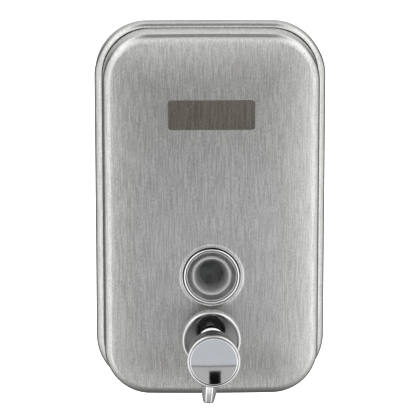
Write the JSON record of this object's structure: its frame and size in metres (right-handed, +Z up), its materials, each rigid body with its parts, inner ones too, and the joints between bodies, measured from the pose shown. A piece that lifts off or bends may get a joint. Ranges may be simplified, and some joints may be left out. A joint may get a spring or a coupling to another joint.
{
  "type": "wall soap dispenser",
  "caption": "Wall mounted push-button soap dispenser with a brushed steel case, a round sight window and a chrome valve with a downward spout.",
  "frame": {"origin": "centre of the flat back face, on the wall plane", "axes": "+Z up along the long side, +Y into the wall, so the front faces -Y, and +X to the right seen from the front"},
  "size_m": [0.1156, 0.0927, 0.1858],
  "materials": {
    "body_steel": "vertical brushed, satin",
    "bracket_steel": "pressed and zinc plated, dull",
    "spring_steel": "drawn, smooth",
    "chrome_plate": "mirror polished",
    "etched_plate": "dark etched, matt",
    "clear_plastic": "clear, polished",
    "tank_plastic": "translucent, blow moulded",
    "cap_plastic": "moulded",
    "black_plastic": "moulded",
    "black_rubber": "matt",
    "plated_brass": "nickel plated"
  },
  "bodies": {
    "housing": {"rear_shell": "body_steel", "hinge_bracket_left": "bracket_steel", "hinge_bracket_right": "bracket_steel", "hinge_pin": "spring_steel", "lock_housing": "plated_brass", "lock_nut": "plated_brass"},
    "cover": {"front_cover": "body_steel", "nameplate": "etched_plate", "window_bezel": "chrome_plate", "window_lens": "clear_plastic", "window_gasket": "black_rubber", "window_nut": "black_plastic", "hinge_lug_left": "bracket_steel", "hinge_lug_right": "bracket_steel", "lock_strike": "bracket_steel", "soap_tank": "tank_plastic", "tank_bracket": "bracket_steel", "valve_rosette": "chrome_plate", "valve_body": "chrome_plate", "spout": "chrome_plate", "valve_gasket": "black_rubber", "valve_nut": "black_plastic", "stem_seal": "black_rubber", "inlet_fitting": "black_plastic", "inlet_flap": "black_rubber", "return_spring": "spring_steel"},
    "button": {"button_cap": "chrome_plate", "button_face": "chrome_plate", "push_stem": "spring_steel", "piston": "black_plastic", "piston_ring": "black_rubber"},
    "filler": {"filler_cap": "cap_plastic", "filler_seal": "black_rubber"},
    "lock": {"lock_barrel": "plated_brass", "lock_cam": "bracket_steel", "lock_screw": "bracket_steel"}
  },
  "joints": [
    {"name": "cover_open", "type": "hinge", "parent": "housing", "child": "cover", "pos_m": [0, -0.0228, -0.0876], "axis": [1, 0, 0], "range_deg": [0, 40]},
    {"name": "button_press", "type": "slide", "parent": "cover", "child": "button", "axis": [0, 1, 0], "range_m": [0, 0.008], "stiffness_N_per_m": 500, "springref_m": -0.008, "deforming": ["return_spring"]},
    {"name": "filler_turn", "type": "hinge", "parent": "cover", "child": "filler", "pos_m": [0, -0.023, 0.06], "axis": [0, 0, 1], "range_deg": [0, 90]},
    {"name": "lock_turn", "type": "hinge", "parent": "housing", "child": "lock", "pos_m": [0.0578, -0.0095, 0.058], "axis": [-1, 0, 0], "range_deg": [0, 90]}
  ]
}
